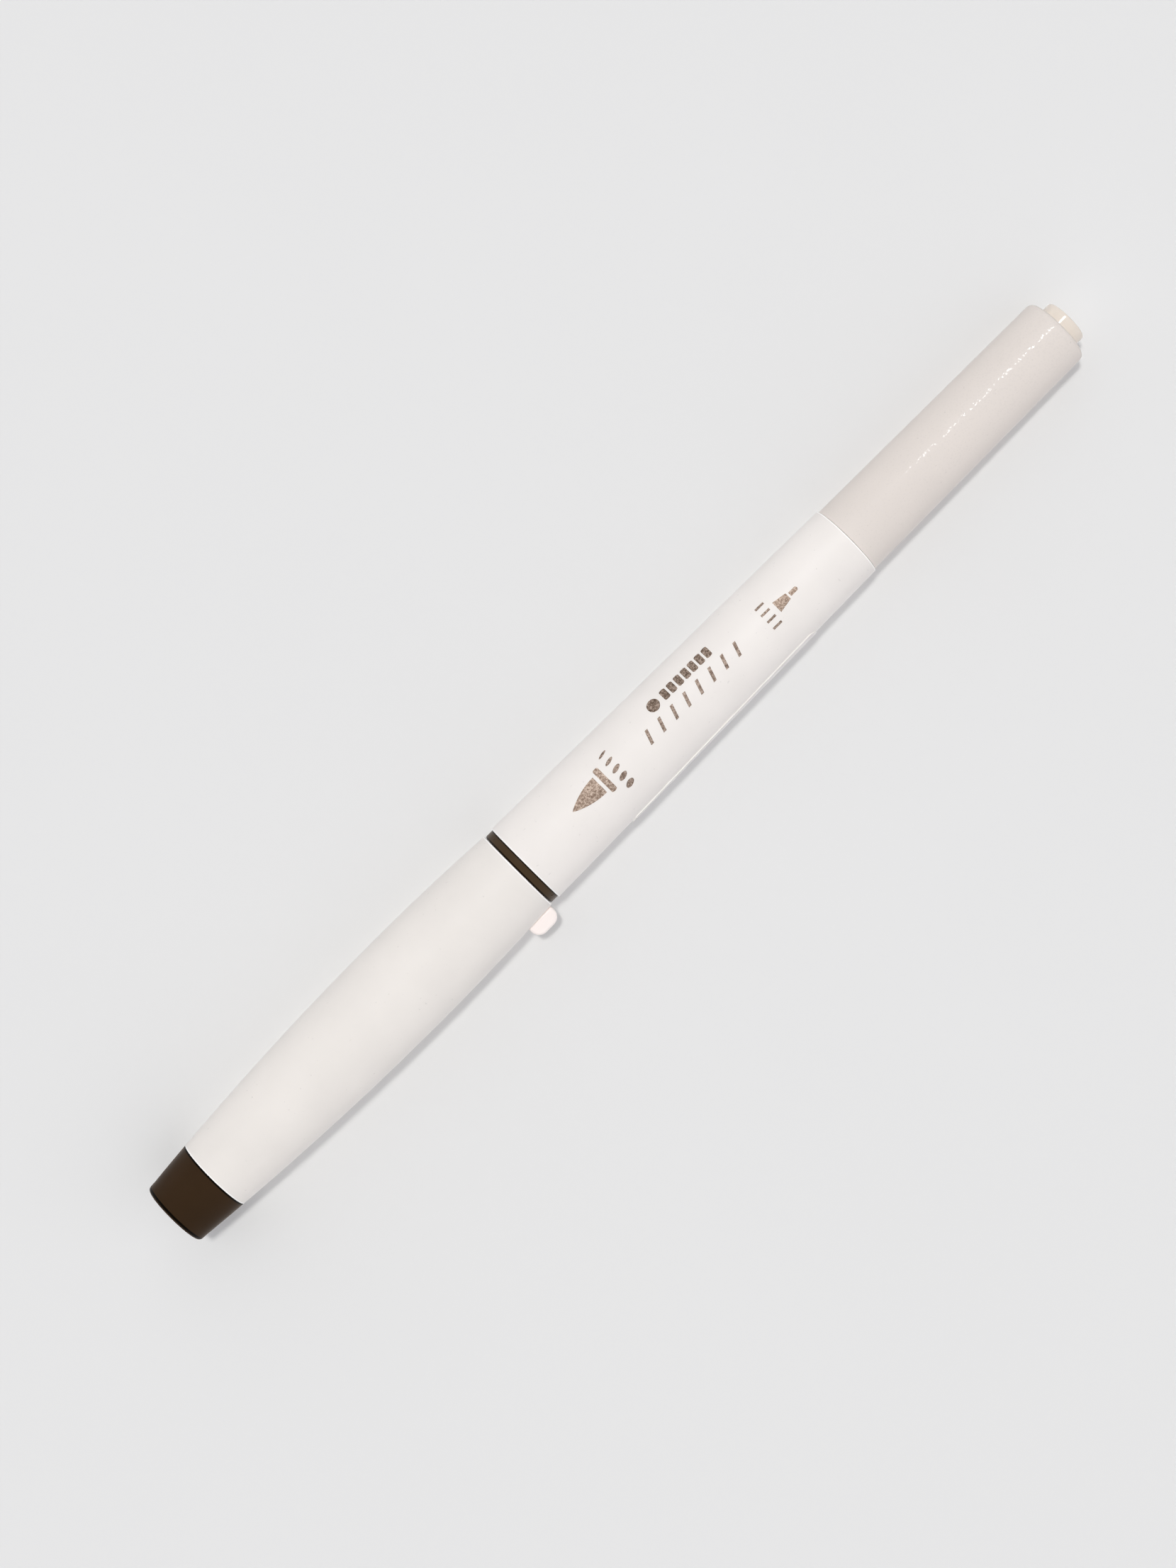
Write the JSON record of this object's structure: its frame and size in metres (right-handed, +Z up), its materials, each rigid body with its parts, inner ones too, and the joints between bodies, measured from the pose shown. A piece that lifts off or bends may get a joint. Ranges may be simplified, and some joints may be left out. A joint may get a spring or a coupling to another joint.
{
  "type": "twin-tip calligraphy marker",
  "caption": "Twin-tip marker with a brush tip under a torpedo-shaped cap with a roll-stop lug, a tapered barrel, and a fine tip under a shorter cap.",
  "frame": {"origin": "under the middle of the part's box, on the ground plane that the brush cap's belly touches", "axes": "+X along the pen from the brush end to the fine end, +Z up, and the roll-stop lug on the -Y side"},
  "size_m": [0.142, 0.013, 0.0118],
  "materials": {
    "pale_plastic": "satin off-white moulded plastic",
    "lug_plastic": "smooth warm white moulded plastic",
    "brown_plastic": "glossy dark brown moulded plastic",
    "beige_plastic": "glossy grey-beige moulded plastic",
    "button_plastic": "glossy warm beige moulded plastic",
    "natural_plastic": "milky natural plastic",
    "label_paper": "thin blank satin label",
    "ink_fibre": "fibre soaked in brown ink",
    "nib_fibre": "bundled brush fibre soaked in brown ink",
    "nib_plastic": "extruded plastic rod soaked in brown ink",
    "nib_steel": "drawn steel tube",
    "foil_print": "rose-gold hot-stamped foil, printed on the barrel",
    "clear_film": "thin plastic film"
  },
  "bodies": {
    "pen": {"barrel": "pale_plastic", "barrel_label": "label_paper", "ink_reservoir": "ink_fibre", "reservoir_sleeve": "clear_film", "brush_section": "brown_plastic", "brush_nib": "nib_fibre", "brush_nib_collar": "natural_plastic", "brush_relay_core": "ink_fibre", "fine_section": "beige_plastic", "fine_nib_tube": "nib_steel", "fine_nib": "nib_plastic", "fine_relay_core": "ink_fibre"},
    "brush_cap_carrier": {"brush_cap_liner": "natural_plastic"},
    "brush_cap": {"brush_cap_shell": "pale_plastic", "brush_cap_plug": "brown_plastic", "roll_stop_lug": "lug_plastic"},
    "fine_cap_carrier": {"fine_cap_liner": "natural_plastic"},
    "fine_cap": {"fine_cap_shell": "beige_plastic", "fine_cap_button": "button_plastic"}
  },
  "joints": [
    {"name": "brush_cap_pull", "type": "slide", "parent": "pen", "child": "brush_cap_carrier", "axis": [-1, 0, 0], "range_m": [0, 0.045]},
    {"name": "brush_cap_turn", "type": "hinge", "parent": "brush_cap_carrier", "child": "brush_cap", "pos_m": [-0.031, 0.00063, 0.0059], "axis": [1, 0, 0], "continuous": true},
    {"name": "fine_cap_pull", "type": "slide", "parent": "pen", "child": "fine_cap_carrier", "axis": [1, 0, 0], "range_m": [0, 0.035]},
    {"name": "fine_cap_turn", "type": "hinge", "parent": "fine_cap_carrier", "child": "fine_cap", "pos_m": [0.049, 0.00063, 0.0059], "axis": [1, 0, 0], "continuous": true}
  ]
}
